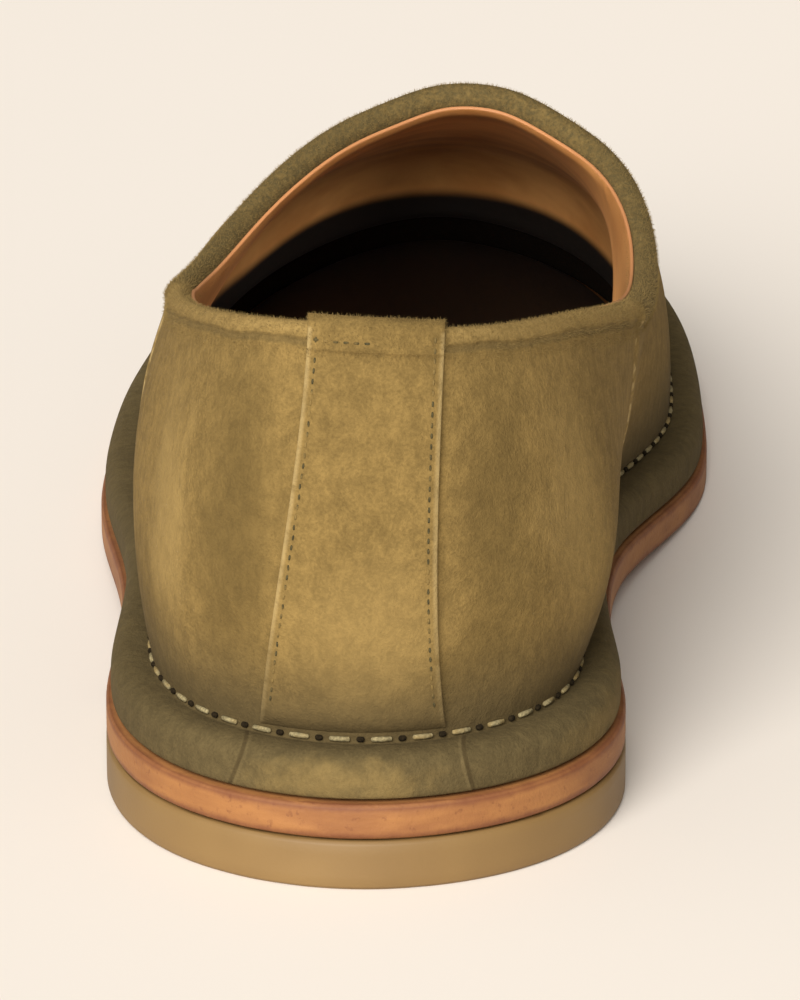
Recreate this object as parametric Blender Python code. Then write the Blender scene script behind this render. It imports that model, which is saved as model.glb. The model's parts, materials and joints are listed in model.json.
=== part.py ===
"""Left suede loafer: a stitch-down upper with a rolled margin, a leather outsole and a low rubber heel.

Lengths are millimetres in the tables and metres in the scene. +Z is up, the toe points to +Y and the
medial side to +X. The tables measure from the heel's back, on the floor, on the shoe's long axis. The
finished pieces are moved so that the origin lies on the floor under the middle of the outsole.
"""

import math
from collections import namedtuple

import bmesh
import bpy
import numpy as np

MM = 0.001
GAP = 0.3

# Driving dimensions, in millimetres
SOLE_LENGTH = 290.0
BALL_WIDTH = 103.0
HEEL_HEIGHT = 7.6
OUTSOLE_THICKNESS = 5.2
TOE_SPRING = 11.0
WALL = 2.2
INSOLE_THICKNESS = 3.0

# Rolled margin: the upper's edge turned out over the sole
MARGIN_WIDTH = 6.4
MARGIN_HEIGHT = 7.2
MARGIN_INSET = 0.7
MARGIN_ROLL = 3.0
GROOVE_DEPTH = 0.6

# Collar: the folded edge round the opening
COLLAR_DEPTH = 4.6
QUARTER_COLLAR_STEP = 0.5
VAMP_COLLAR_STEP = 0.9

# Vamp laid over the quarters at the side seams; places are shares of the way around
VAMP_LIFT = 0.6
SIDE_SEAM = 0.151
SEAM_EDGE = 0.0007

# Heel block and its breast
HEEL_LENGTH = 74.0
HEEL_BREAST_DIP = 5.0
EDGE_BEVEL = 0.5

# Back strip over the closing seam
STRIP_THICKNESS = 0.7
STRIP_WIDTH_TOP = 19.5
STRIP_WIDTH_FOOT = 27.5
STRIP_FOOT = 0.02
STRIP_TURN = 100.0
STRIP_SHIFT = -0.3
STRIP_FLARE = 1.5
STRIP_SPAN = 0.01

# Mesh density, and the small step around that slopes are taken over
RIBS = 96
WALL_ROWS = 13
INNER_ROWS = 8
ROLL_STEPS = 4
RIM_STEPS = 4
HEEL_STEPS = 20
BREAST_STEPS = 12
BREAST_SEARCH = 4000
STRIP_COLUMNS = 8
SLOPE_STEP = 1e-4
SHARP_ANGLE = 35.0

# Half widths of the sole at stations along it, in shares of the ball width and of the sole's length
SoleStation = namedtuple("SoleStation", "along lateral medial")
SOLE_STATIONS = (
    SoleStation(0.040, 0.243, 0.265),
    SoleStation(0.125, 0.360, 0.374),
    SoleStation(0.215, 0.376, 0.365),
    SoleStation(0.320, 0.385, 0.350),
    SoleStation(0.435, 0.431, 0.372),
    SoleStation(0.540, 0.470, 0.443),
    SoleStation(0.625, 0.480, 0.493),
    SoleStation(0.700, 0.475, 0.498),
    SoleStation(0.780, 0.452, 0.487),
    SoleStation(0.865, 0.396, 0.449),
    SoleStation(0.945, 0.264, 0.335),
)
TOE_ACROSS = 0.015

# Height of the outsole's tread: heel seat, waist, flat under the ball, toe spring
WAIST_START = 0.250
BALL_FLAT_START = 0.650
BALL_FLAT_END = 0.735

# Ribs of the upper from the groove to the collar: the wall point stands out and up from the groove,
# the shoulder and collar points are measured from the heel's back on the floor. "around" runs from
# the heel's back along the lateral side to the toe at 0.5, and back along the medial side.
Rib = namedtuple(
    "Rib",
    "around wall_out wall_rise"
    " shoulder_across shoulder_along shoulder_height"
    " collar_across collar_along collar_height",
)
RIB_TABLE = (
    Rib(0.000, 5.0, 20, 2.8, 2.5, 59, 4.2, 10.0, 81.2),
    Rib(0.050, 5.0, 20, -18.5, 12.5, 59, -13.0, 18.0, 80.0),
    Rib(0.100, 5.5, 19, -33.0, 41.0, 56, -24.5, 41.0, 75.0),
    Rib(0.145, 6.5, 18, -35.5, 68.0, 53, -28.4, 66.0, 70.5),
    Rib(0.190, 6.0, 18, -32.5, 98.0, 51, -26.5, 92.0, 67.0),
    Rib(0.235, 4.0, 19, -28.5, 124.0, 53, -20.6, 113.0, 69.5),
    Rib(0.290, 2.5, 21, -24.0, 154.0, 56, -11.0, 129.0, 74.7),
    Rib(0.360, 2.0, 24, -15.0, 184.0, 56, -1.0, 138.0, 78.0),
    Rib(0.430, 2.0, 25, -4.0, 200.0, 54, 6.0, 142.0, 79.8),
    Rib(0.500, 2.0, 25, 9.0, 204.0, 53, 12.0, 143.0, 80.4),
    Rib(0.570, 2.0, 25, 23.0, 198.0, 54, 19.5, 142.0, 79.4),
    Rib(0.640, 2.0, 24, 34.0, 180.0, 54, 28.0, 137.0, 76.2),
    Rib(0.710, 2.0, 22, 38.0, 150.0, 54, 36.4, 127.0, 72.2),
    Rib(0.765, 4.0, 21, 39.2, 119.0, 52, 40.9, 110.0, 67.8),
    Rib(0.810, 7.5, 19, 39.8, 94.0, 51, 41.6, 90.0, 65.3),
    Rib(0.855, 10.0, 18, 38.8, 67.0, 52, 39.2, 66.0, 68.5),
    Rib(0.900, 8.8, 18, 36.2, 41.0, 56, 31.5, 41.0, 74.5),
    Rib(0.950, 6.0, 19, 24.8, 12.5, 59, 19.5, 18.5, 79.0),
)

# Colours and roughness of the plain materials
OLIVE = (0.19, 0.13, 0.05)
TAN = (0.42, 0.20, 0.08)
KHAKI = (0.36, 0.22, 0.09)
BROWN = (0.06, 0.03, 0.015)
SUEDE_ROUGHNESS = 0.95
OUTSOLE_ROUGHNESS = 0.6
RUBBER_ROUGHNESS = 0.5
INSOLE_ROUGHNESS = 0.7


# Curves

def closed_spline(knots, values):
    """A smooth closed curve through the values at the knots, which lie from 0 to below 1."""
    knots = np.asarray(knots, float)
    values = np.asarray(values, float)
    count = len(knots)
    span = np.diff(np.append(knots, knots[0] + 1.0))
    matrix = np.zeros((count, count))
    for i in range(count):
        matrix[i, i - 1] += span[i - 1]
        matrix[i, i] += 2 * (span[i - 1] + span[i])
        matrix[i, (i + 1) % count] += span[i]
    slope = (np.roll(values, -1, axis=0) - values) / span[:, None]
    bend = np.linalg.solve(matrix, 6 * (slope - np.roll(slope, 1, axis=0)))

    def at(around):
        place = np.mod(np.asarray(around, float) - knots[0], 1.0) + knots[0]
        i = np.clip(np.searchsorted(knots, place, side="right") - 1, 0, count - 1)
        j = (i + 1) % count
        width = span[i][..., None]
        after = (place - knots[i])[..., None] / width
        before = 1 - after
        curve = (before**3 - before) * bend[i] + (after**3 - after) * bend[j]
        return before * values[i] + after * values[j] + curve * width**2 / 6

    return at


def smooth_step(share):
    share = np.clip(share, 0.0, 1.0)
    return share * share * (3 - 2 * share)


# Sole

def sole_curve():
    """The sole's outline from above, as a closed spline over the way around."""
    lateral = [(-s.lateral * BALL_WIDTH, s.along * SOLE_LENGTH) for s in SOLE_STATIONS]
    medial = [(s.medial * BALL_WIDTH, s.along * SOLE_LENGTH) for s in SOLE_STATIONS]
    heel_back = [(0.0, 0.0)]
    toe = [(TOE_ACROSS * BALL_WIDTH, SOLE_LENGTH)]
    sides = (heel_back + lateral + toe, toe + medial[::-1] + heel_back)
    knots = []
    for start, side in zip((0.0, 0.5), sides):
        steps = np.linalg.norm(np.diff(np.array(side), axis=0), axis=1)
        way = np.append(0.0, np.cumsum(steps))
        knots.extend(start + 0.5 * way[:-1] / way[-1])
    return closed_spline(knots, np.array(sides[0][:-1] + sides[1][:-1]))


OUTLINE = sole_curve()


def outward(around):
    """The outline's outward unit normal, from above."""
    around = np.asarray(around)
    along = OUTLINE(around + SLOPE_STEP) - OUTLINE(around - SLOPE_STEP)
    along /= np.linalg.norm(along, axis=-1, keepdims=True)
    return np.stack([-along[..., 1], along[..., 0]], axis=-1)


def inset_outline(around, inset):
    return OUTLINE(around) - inset * outward(around)


def tread_height(along):
    """Height of the outsole's underside over the floor."""
    share = np.asarray(along) / SOLE_LENGTH
    waist = 1 - smooth_step((share - WAIST_START) / (BALL_FLAT_START - WAIST_START))
    toe = np.clip((share - BALL_FLAT_END) / (1 - BALL_FLAT_END), 0.0, 1.0) ** 2
    return HEEL_HEIGHT * waist + TOE_SPRING * toe


def seat_height(along):
    """Height of the outsole's top face over the floor."""
    return tread_height(along) + OUTSOLE_THICKNESS


def sole_ring(around, inset, height):
    """Points a height over the sole's top face, inset from its outline."""
    plan = inset_outline(around, inset)
    return np.column_stack([plan, seat_height(plan[:, 1]) + height])


# Upper

RIB_CURVE = closed_spline([rib.around for rib in RIB_TABLE], [rib[1:] for rib in RIB_TABLE])


def rib_at(around):
    """Wall offsets, shoulder points and collar points of the ribs at places around the shoe."""
    values = RIB_CURVE(around)
    return values[:, 0:2], values[:, 2:5], values[:, 5:8]


def groove_point(around):
    return sole_ring(around, MARGIN_INSET + MARGIN_WIDTH, MARGIN_HEIGHT - GROOVE_DEPTH)


def upper_surface(around, share):
    """The upper's outer face: share 0 is the groove over the margin, share 1 the collar's edge."""
    offset, shoulder, collar = rib_at(around)
    foot = groove_point(around)
    wall = foot + np.column_stack([outward(around) * offset[:, 0:1], offset[:, 1]])
    s = np.asarray(share, float)[:, None]
    return (
        foot * (1 - s) ** 3
        + wall * 3 * s * (1 - s) ** 2
        + shoulder * 3 * s**2 * (1 - s)
        + collar * s**3
    )


def upper_frame(around, share):
    """Outward normal and upward tangent of the upper's outer face, as unit vectors."""
    inside = np.clip(share, SLOPE_STEP, 1 - SLOPE_STEP)
    up = upper_surface(around, inside + SLOPE_STEP) - upper_surface(around, inside - SLOPE_STEP)
    side = upper_surface(around + SLOPE_STEP, inside) - upper_surface(around - SLOPE_STEP, inside)
    up /= np.linalg.norm(up, axis=1, keepdims=True)
    normal = np.cross(up, side)
    return normal / np.linalg.norm(normal, axis=1, keepdims=True), up


def share_below_collar(around, below):
    """The share of the rib that lies a length below the collar's edge."""
    _, shoulder, collar = rib_at(around)
    pace = 3 * np.linalg.norm(collar - shoulder, axis=1)
    return 1 - below / pace


def on_vamp(around):
    """Whether a rib belongs to the vamp, whose back edges lie over the quarters."""
    place = np.mod(np.asarray(around, float), 1.0)
    return (place > SIDE_SEAM) & (place < 1 - SIDE_SEAM)


def collar_step(around):
    return np.where(on_vamp(around), VAMP_COLLAR_STEP, QUARTER_COLLAR_STEP)


def vamp_lift(around):
    return np.where(on_vamp(around), VAMP_LIFT, 0.0)


def off_face(around, share, out, up=0.0):
    """Points off the upper's plain outer face: so far out of it, and so far up along it."""
    normal, rise = upper_frame(around, share)
    points = upper_surface(around, share)
    return points + normal * np.reshape(out, (-1, 1)) + rise * np.reshape(up, (-1, 1))


def outer_points(around, share, lift=0.0):
    """Outside of the wall, at a share of the way from the groove to the collar's fold."""
    below_fold = share * share_below_collar(around, COLLAR_DEPTH)
    return off_face(around, below_fold, vamp_lift(around) + lift)


def inner_points(around, share):
    below_fold = share * share_below_collar(around, COLLAR_DEPTH)
    return off_face(around, below_fold, -WALL)


def fold_foot(around, lift=0.0):
    """Lower edge of the collar's fold on the outside."""
    step = collar_step(around)
    share = share_below_collar(around, COLLAR_DEPTH - step)
    return off_face(around, share, vamp_lift(around) + step + lift)


def inner_fold_foot(around):
    step = collar_step(around)
    return off_face(around, share_below_collar(around, COLLAR_DEPTH - step), -WALL - step)


def fold_points(around, turn, lift=0.0):
    """The collar's round edge, at a turn of 0 outside, 90 on top and 180 inside."""
    angle = math.radians(turn)
    radius = WALL / 2 + collar_step(around)
    reach = radius + lift
    out = reach * math.cos(angle) - WALL / 2 + vamp_lift(around) * (1 + math.cos(angle)) / 2
    return off_face(around, share_below_collar(around, radius), out, reach * math.sin(angle))


def margin_profile():
    """Inset from the sole's edge and height over the sole, from the inside over the roll to the groove."""
    foot = MARGIN_INSET + MARGIN_WIDTH
    profile = [
        (foot + WALL, GAP),
        (MARGIN_INSET + EDGE_BEVEL, GAP),
        (MARGIN_INSET, GAP + EDGE_BEVEL),
    ]
    for k in range(ROLL_STEPS + 1):
        angle = math.pi / 2 * k / ROLL_STEPS
        inset = MARGIN_INSET + MARGIN_ROLL * (1 - math.cos(angle))
        profile.append((inset, MARGIN_HEIGHT - MARGIN_ROLL * (1 - math.sin(angle))))
    profile.append((foot - 2 * GROOVE_DEPTH, MARGIN_HEIGHT))
    return profile


def rib_places():
    """Places of the ribs: even ones, and a close pair at each side seam for the vamp's edge."""
    pairs = [seam + side * SEAM_EDGE for seam in (SIDE_SEAM, 1 - SIDE_SEAM) for side in (-1, 1)]
    return np.sort(np.append(np.arange(RIBS) / RIBS, pairs))


def upper_rings():
    """The closed section of the upper's wall: one ring of points round the shoe for each corner."""
    around = rib_places()
    rings = [sole_ring(around, inset, height) for inset, height in margin_profile()]
    rings += [outer_points(around, k / WALL_ROWS) for k in range(WALL_ROWS + 1)]
    rings.append(fold_foot(around))
    rings += [fold_points(around, 180 * k / RIM_STEPS) for k in range(RIM_STEPS + 1)]
    rings.append(inner_fold_foot(around))
    rings += [inner_points(around, k / INNER_ROWS) for k in range(INNER_ROWS, -1, -1)]
    return rings


def ring_faces(rings, closed):
    """Faces between rings that follow each other; a closed section also joins the last to the first."""
    count, size = len(rings), len(rings[0])
    faces = []
    for r in range(count if closed else count - 1):
        this, following = r * size, (r + 1) % count * size
        for i in range(size):
            j = (i + 1) % size
            faces.append((this + i, following + i, following + j, this + j))
    return faces


def upper():
    rings = upper_rings()
    return np.concatenate(rings), ring_faces(rings, closed=True)


# Layers under the upper

def across_faces(start, size):
    """Faces across one ring of points, from side to side, with a triangle at each end."""
    faces = []
    for i in range(size // 2):
        corners = (i, i + 1, (size - i - 1) % size, (size - i) % size)
        faces.append(tuple(start + corner for corner in dict.fromkeys(corners)))
    return faces


def edged_rings(around, inset, low, high):
    """Rings of a layer with bevelled edges; low and high give its two faces over the length."""
    plan = inset_outline(around, inset)
    inner = inset_outline(around, inset + EDGE_BEVEL)
    return [
        np.column_stack([inner, low(inner[:, 1])]),
        np.column_stack([plan, low(plan[:, 1]) + EDGE_BEVEL]),
        np.column_stack([plan, high(plan[:, 1]) - EDGE_BEVEL]),
        np.column_stack([inner, high(inner[:, 1])]),
    ]


def sole_layer(inset, low, high):
    """A solid under the foot between two heights, inset from the sole's outline."""
    around = np.arange(RIBS) / RIBS
    rings = edged_rings(around, inset, low, high)
    faces = ring_faces(rings, closed=False)
    faces += across_faces(0, RIBS)
    faces += across_faces((len(rings) - 1) * RIBS, RIBS)
    return np.concatenate(rings), faces


def outsole():
    return sole_layer(0.0, tread_height, seat_height)


def insole():
    inset = MARGIN_INSET + MARGIN_WIDTH + WALL + 2 * GAP

    def low(along):
        return seat_height(along) + GAP

    def high(along):
        return low(along) + INSOLE_THICKNESS

    return sole_layer(inset, low, high)


def heel_plan(inset):
    """The heel's outline: the sole's back up to the breast, and the hollow breast."""
    dense = np.linspace(0.0, 1.0, BREAST_SEARCH, endpoint=False)
    plan = inset_outline(dense, inset)
    front = HEEL_LENGTH - inset
    half = BREAST_SEARCH // 2
    lateral_end = dense[np.argmax(plan[:half, 1] > front)]
    medial_end = dense[half + np.argmax(plan[half:, 1] < front)]
    sides = np.concatenate([
        np.linspace(medial_end, 1.0, HEEL_STEPS),
        np.linspace(1.0, 1.0 + lateral_end, HEEL_STEPS)[1:],
    ])
    back = inset_outline(sides, inset)
    share = np.linspace(0.0, 1.0, BREAST_STEPS + 1)[1:-1]
    across = back[-1, 0] + (back[0, 0] - back[-1, 0]) * share
    along = front - HEEL_BREAST_DIP * 4 * share * (1 - share)
    return np.concatenate([back, np.column_stack([across, along])])


def heel():
    plan, inner = heel_plan(0.0), heel_plan(EDGE_BEVEL)
    top = HEEL_HEIGHT - GAP
    heights = ((inner, 0.0), (plan, EDGE_BEVEL), (plan, top - EDGE_BEVEL), (inner, top))
    rings = [np.column_stack([ring, np.full(len(ring), height)]) for ring, height in heights]
    size = len(plan)
    faces = ring_faces(rings, closed=False)
    faces.append(tuple(range(size)))
    faces.append(tuple(range((len(rings) - 1) * size, len(rings) * size)))
    return np.concatenate(rings), faces


# Back strip

def strip_row(place, lift, width):
    """A row of the strip across the heel's back, from a function of the upper's wall."""
    ends = place(np.array([-STRIP_SPAN, STRIP_SPAN]), lift)
    pace = np.linalg.norm(ends[1] - ends[0]) / (2 * STRIP_SPAN)
    across = np.linspace(-width / 2, width / 2, STRIP_COLUMNS + 1)
    return place((across - STRIP_SHIFT) / pace, lift)


def strip_rows(lift):
    """Rows of the strip from the groove up and over the collar, lifted off the upper."""
    rows = []
    for share in np.linspace(STRIP_FOOT, 1.0, WALL_ROWS + 1):
        width = STRIP_WIDTH_TOP + (STRIP_WIDTH_FOOT - STRIP_WIDTH_TOP) * (1 - share) ** STRIP_FLARE
        rows.append(strip_row(lambda around, off: outer_points(around, share, off), lift, width))
    rows.append(strip_row(fold_foot, lift, STRIP_WIDTH_TOP))
    for turn in np.linspace(0.0, STRIP_TURN, RIM_STEPS + 1):
        rows.append(strip_row(lambda around, off: fold_points(around, turn, off), lift, STRIP_WIDTH_TOP))
    return rows


def back_strip():
    """Each row's under and upper side as one ring, the rings joined up the strip, both ends closed."""
    under, over = strip_rows(GAP), strip_rows(GAP + STRIP_THICKNESS)
    rings = [np.concatenate([low, high[::-1]]) for low, high in zip(under, over)]
    faces = ring_faces(rings, closed=False)
    size = len(rings[0])
    for start in (0, (len(rings) - 1) * size):
        for i in range(STRIP_COLUMNS):
            faces.append((start + i, start + i + 1, start + size - i - 2, start + size - i - 1))
    return np.concatenate(rings), faces


# Scene

def add_piece(name, points, faces, colour, roughness, parent):
    """A mesh object in metres, with its faces turned outwards and its own material."""
    mesh = bpy.data.meshes.new(name)
    mesh.from_pydata((points * MM).tolist(), [], faces)
    shape = bmesh.new()
    shape.from_mesh(mesh)
    bmesh.ops.recalc_face_normals(shape, faces=shape.faces)
    shape.to_mesh(mesh)
    shape.free()
    mesh.shade_smooth()
    mesh.set_sharp_from_angle(angle=math.radians(SHARP_ANGLE))
    material = bpy.data.materials.new(name)
    material.use_nodes = True
    shader = material.node_tree.nodes["Principled BSDF"]
    shader.inputs["Base Color"].default_value = (*colour, 1.0)
    shader.inputs["Roughness"].default_value = roughness
    mesh.materials.append(material)
    piece = bpy.data.objects.new(name, mesh)
    piece.parent = parent
    bpy.context.scene.collection.objects.link(piece)


def build():
    for item in list(bpy.data.objects):
        bpy.data.objects.remove(item, do_unlink=True)
    loafer = bpy.data.objects.new("loafer", None)
    bpy.context.scene.collection.objects.link(loafer)
    outline = OUTLINE(np.arange(RIBS) / RIBS)
    middle = np.append((outline.min(axis=0) + outline.max(axis=0)) / 2, 0.0)
    pieces = (
        ("upper", upper(), OLIVE, SUEDE_ROUGHNESS),
        ("back_strip", back_strip(), OLIVE, SUEDE_ROUGHNESS),
        ("outsole", outsole(), TAN, OUTSOLE_ROUGHNESS),
        ("heel", heel(), KHAKI, RUBBER_ROUGHNESS),
        ("insole", insole(), BROWN, INSOLE_ROUGHNESS),
    )
    for name, (points, faces), colour, roughness in pieces:
        add_piece(name, points - middle, faces, colour, roughness, loafer)


build()
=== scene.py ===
import json
import math
from collections import deque

import bpy
import numpy as np
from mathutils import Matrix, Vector
from mathutils.kdtree import KDTree

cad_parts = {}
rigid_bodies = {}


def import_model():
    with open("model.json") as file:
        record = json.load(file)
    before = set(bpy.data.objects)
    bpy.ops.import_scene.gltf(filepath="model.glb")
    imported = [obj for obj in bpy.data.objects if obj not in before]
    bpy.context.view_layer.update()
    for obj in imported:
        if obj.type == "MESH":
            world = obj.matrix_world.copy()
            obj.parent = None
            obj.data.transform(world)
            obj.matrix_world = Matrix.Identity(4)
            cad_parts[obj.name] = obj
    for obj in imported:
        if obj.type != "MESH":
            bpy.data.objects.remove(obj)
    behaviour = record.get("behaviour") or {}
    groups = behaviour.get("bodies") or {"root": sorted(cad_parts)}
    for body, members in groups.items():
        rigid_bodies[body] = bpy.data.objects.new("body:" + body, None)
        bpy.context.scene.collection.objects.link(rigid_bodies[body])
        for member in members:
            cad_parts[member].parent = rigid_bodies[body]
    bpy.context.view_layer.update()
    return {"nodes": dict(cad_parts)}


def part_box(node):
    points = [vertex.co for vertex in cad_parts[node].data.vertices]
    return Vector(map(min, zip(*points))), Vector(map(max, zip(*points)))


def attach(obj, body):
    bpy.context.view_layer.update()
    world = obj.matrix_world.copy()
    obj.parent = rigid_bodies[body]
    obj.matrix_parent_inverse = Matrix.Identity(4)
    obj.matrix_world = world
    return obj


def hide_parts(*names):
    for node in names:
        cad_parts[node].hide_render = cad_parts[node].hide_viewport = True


# Everything is in metres, with the toe at +Y, the medial side at +X and the floor at zero
bpy.ops.object.select_all(action="SELECT")
bpy.ops.object.delete()
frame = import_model()

# Places on the upper that edge loops are picked by
COLLAR_TOP_AT_HEEL = Vector((0.0031, -0.1337, 0.0812))
SPINE_BACK = Vector((0.0, -0.100, 0.035))
SPINE_FRONT = Vector((0.005, 0.105, 0.022))
WELD = 0.00002

# Rows of the upper's wall, counted from the top of the collar: outside above zero, inside below
GROOVE_ROW = 17
LINING_TOP_ROW = -1
LINING_FOOT_ROW = -12
ROWS_ROUND = 39
NOT_COUNTED = 999
LAST_ROW = 26
RIM_REACH = 0.0055
COLLAR_BAND_ROW = 3
ON_ROW = 0.02
QUARTER_FRONT = -0.076
SEAM_FRONT = -0.050
SEAM_STEP = 0.0016
ALONG_LOOP = 0.8
OFF_LOOP = 0.01
STRIP_EDGE_ANGLE = math.radians(40)
LINING_EDGE_ANGLE = math.radians(50)
SOLE_EDGE_ANGLE = math.radians(25)
SOLE_SMOOTH_ANGLE = math.radians(40)
STRIP_EDGE_CREASE = 0.6
LINING_EDGE_CREASE = 0.7
SOLE_EDGE_CREASE = 0.75


# Colours

def linear(red, green, blue):
    """A screen colour from 0 to 255 as linear light, with full alpha."""
    shares = [value / 255 for value in (red, green, blue)]
    return tuple(s / 12.92 if s <= 0.04045 else ((s + 0.055) / 1.055) ** 2.4 for s in shares) + (1.0,)


SUEDE_DARK = linear(103, 83, 45)
SUEDE_LIGHT = linear(142, 116, 66)
SUEDE_SHADED = linear(76, 65, 42)
SUEDE_PALE = linear(152, 126, 75)
SUEDE_DEEP = linear(92, 74, 39)
MARGIN_GREY = linear(96, 82, 52)
MARGIN_WORN = linear(132, 110, 66)
RAW_EDGE = linear(186, 162, 112)
SEAM_DARK = linear(64, 52, 30)
THROAT_DARK = linear(80, 70, 44)
FUZZ_OLIVE = linear(128, 107, 64)
THREAD_PALE = linear(158, 144, 106)
THREAD_OLIVE = linear(84, 76, 50)
STITCH_HOLE_SHADE = linear(42, 34, 21)
LINING_TAN = linear(222, 160, 92)
LINING_DARK = linear(192, 130, 68)
LINING_SHADE = linear(20, 13, 7)
LINING_CUT = linear(166, 112, 68)
LINING_CURL_SHADE = linear(140, 90, 42)
SOCK_BROWN = linear(38, 27, 19)
SOLE_TAN = linear(163, 110, 58)
SOLE_BROWN = linear(131, 81, 42)
SOLE_BURNT = linear(104, 54, 28)
RUBBER_KHAKI = linear(134, 105, 60)
RUBBER_SHADE = linear(120, 92, 51)
FLOOR_CREAM = linear(240, 232, 222)


# Picking and editing

def pick(piece):
    """Makes a piece the only selected object and the active one."""
    bpy.ops.object.select_all(action="DESELECT")
    piece.select_set(True)
    bpy.context.view_layer.objects.active = piece


def edit(piece, kind="VERT"):
    """Opens a piece in edit mode with nothing selected."""
    pick(piece)
    bpy.ops.object.mode_set(mode="EDIT")
    bpy.ops.mesh.select_mode(type=kind)
    bpy.ops.mesh.select_all(action="DESELECT")


def close_edit():
    bpy.ops.object.mode_set(mode="OBJECT")


def points_of(piece):
    flat = np.zeros(len(piece.data.vertices) * 3)
    piece.data.vertices.foreach_get("co", flat)
    return flat.reshape(-1, 3)


def normals_of(piece):
    flat = np.zeros(len(piece.data.vertices) * 3)
    piece.data.vertex_normals.foreach_get("vector", flat)
    return flat.reshape(-1, 3)


def move_points(piece, points):
    piece.data.vertices.foreach_set("co", points.ravel())
    piece.data.update()


def store(piece, name, values):
    """Keeps one number for each point of a piece, for its material."""
    layer = piece.data.attributes.new(name, "FLOAT", "POINT")
    layer.data.foreach_set("value", np.asarray(values, np.float32))


def stored(piece, name):
    values = np.zeros(len(piece.data.vertices), np.float32)
    piece.data.attributes[name].data.foreach_get("value", values)
    return values


def apply_modifiers(piece):
    pick(piece)
    for modifier in list(piece.modifiers):
        bpy.ops.object.modifier_apply(modifier=modifier.name)


def smooth(piece, levels):
    """Subdivision Surface, applied."""
    modifier = piece.modifiers.new("round", "SUBSURF")
    modifier.levels = levels
    modifier.render_levels = levels
    apply_modifiers(piece)
    pick(piece)
    bpy.ops.object.shade_smooth()


def copy_of(source, name):
    """A welded copy of a CAD node in quads, free of the node's own data."""
    pick(source)
    bpy.ops.object.duplicate()
    piece = bpy.context.object
    piece.name = name
    piece.data.name = name
    piece.parent = None
    for key in list(piece.keys()):
        del piece[key]
    piece.data.materials.clear()
    edit(piece)
    bpy.ops.mesh.select_all(action="SELECT")
    bpy.ops.mesh.remove_doubles(threshold=WELD)
    bpy.ops.mesh.tris_convert_to_quads(face_threshold=math.pi, shape_threshold=math.pi)
    close_edit()
    bpy.ops.mesh.customdata_custom_splitnormals_clear()
    return piece


def separate_selected(name):
    """Splits a copy of the selected part of the mesh in edit mode off as an object of its own."""
    source = bpy.context.object
    bpy.ops.mesh.duplicate()
    bpy.ops.mesh.separate(type="SELECTED")
    close_edit()
    piece = next(item for item in bpy.context.selected_objects if item is not source)
    piece.name = name
    piece.data.name = name
    pick(piece)
    return piece


def select_loop(piece, place, heading):
    """Selects the edge loop through the edge nearest to a place that runs along a heading."""
    points = points_of(piece)
    ends = np.array([edge.vertices[:] for edge in piece.data.edges])
    middle = points[ends].mean(axis=1)
    run = points[ends[:, 1]] - points[ends[:, 0]]
    share = np.abs(run @ np.array(heading)) / np.linalg.norm(run, axis=1)
    far = np.linalg.norm(middle - np.array(place), axis=1) + OFF_LOOP * (share < ALONG_LOOP)
    edit(piece, "EDGE")
    close_edit()
    piece.data.edges[int(np.argmin(far))].select = True
    bpy.ops.object.mode_set(mode="EDIT")
    bpy.ops.mesh.loop_multi_select(ring=False)


def selected_points(piece):
    chosen = np.zeros(len(piece.data.vertices), bool)
    piece.data.vertices.foreach_get("select", chosen)
    return np.flatnonzero(chosen)


def ride_and_slot(piece, material, slot, *nodes):
    """Gives a piece its material, lets it ride on the shoe and stand for CAD nodes; the slot is not used.
    """
    piece.data.materials.clear()
    piece.data.materials.append(material)
    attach(piece, "root")
    if nodes:
        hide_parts(*nodes)


def distance_to(points, targets):
    """Distance of each point to the nearest of the target points."""
    tree = KDTree(len(targets))
    for i, target in enumerate(targets):
        tree.insert(target, i)
    tree.balance()
    return np.array([tree.find(point)[2] for point in points])


def dense_line(points, steps=8):
    """A line of points with further points put between each two of them."""
    share = np.linspace(0.0, 1.0, steps, endpoint=False)[:, None]
    parts = [a + (b - a) * share for a, b in zip(points[:-1], points[1:])]
    return np.concatenate(parts + [points[-1:]])


# Upper

def distance_to_spine(points):
    """Distance of points to a line along the middle of the shoe's inside."""
    along = np.array(SPINE_FRONT - SPINE_BACK)
    share = np.clip((points - np.array(SPINE_BACK)) @ along / (along @ along), 0.0, 1.0)
    return np.linalg.norm(points - np.array(SPINE_BACK) - share[:, None] * along, axis=1)


def neighbours(piece):
    """The points that share an edge with each point."""
    near = [[] for _ in piece.data.vertices]
    for edge in piece.data.edges:
        a, b = edge.vertices
        near[a].append(b)
        near[b].append(a)
    return near


def wall_rows(piece):
    """Rows of the wall counted from the collar's top loop, with the inside rows below zero."""
    select_loop(piece, COLLAR_TOP_AT_HEEL, (1, 0, 0))
    close_edit()
    top = selected_points(piece)
    points = points_of(piece)
    off_spine = distance_to_spine(points)
    near = neighbours(piece)
    rows = np.full(len(points), NOT_COUNTED)
    rows[top] = 0
    waiting = deque(top)
    while waiting:
        here = waiting.popleft()
        for other in near[here]:
            if rows[other] != NOT_COUNTED:
                continue
            if rows[here] == 0:
                rows[other] = 1 if off_spine[other] > off_spine[here] else -1
            else:
                rows[other] = rows[here] + np.sign(rows[here])
            waiting.append(other)
    rows[rows < LINING_FOOT_ROW] += ROWS_ROUND
    return rows


def seam_line(piece, rows, side):
    """The vamp's back edge on one side of the shoe, from the groove to the collar."""
    points = points_of(piece)
    pairs = []
    for edge in piece.data.edges:
        a, b = edge.vertices
        short = np.linalg.norm(points[a] - points[b]) < SEAM_STEP and points[a, 1] < SEAM_FRONT
        on_wall = rows[a] == rows[b] and COLLAR_BAND_ROW <= rows[a] <= GROOVE_ROW
        if short and on_wall and points[a, 0] * side > 0:
            pairs.append((rows[a], (points[a] + points[b]) / 2))
    pairs.sort(key=lambda pair: -pair[0])
    return dense_line(np.array([point for _, point in pairs]))


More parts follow.
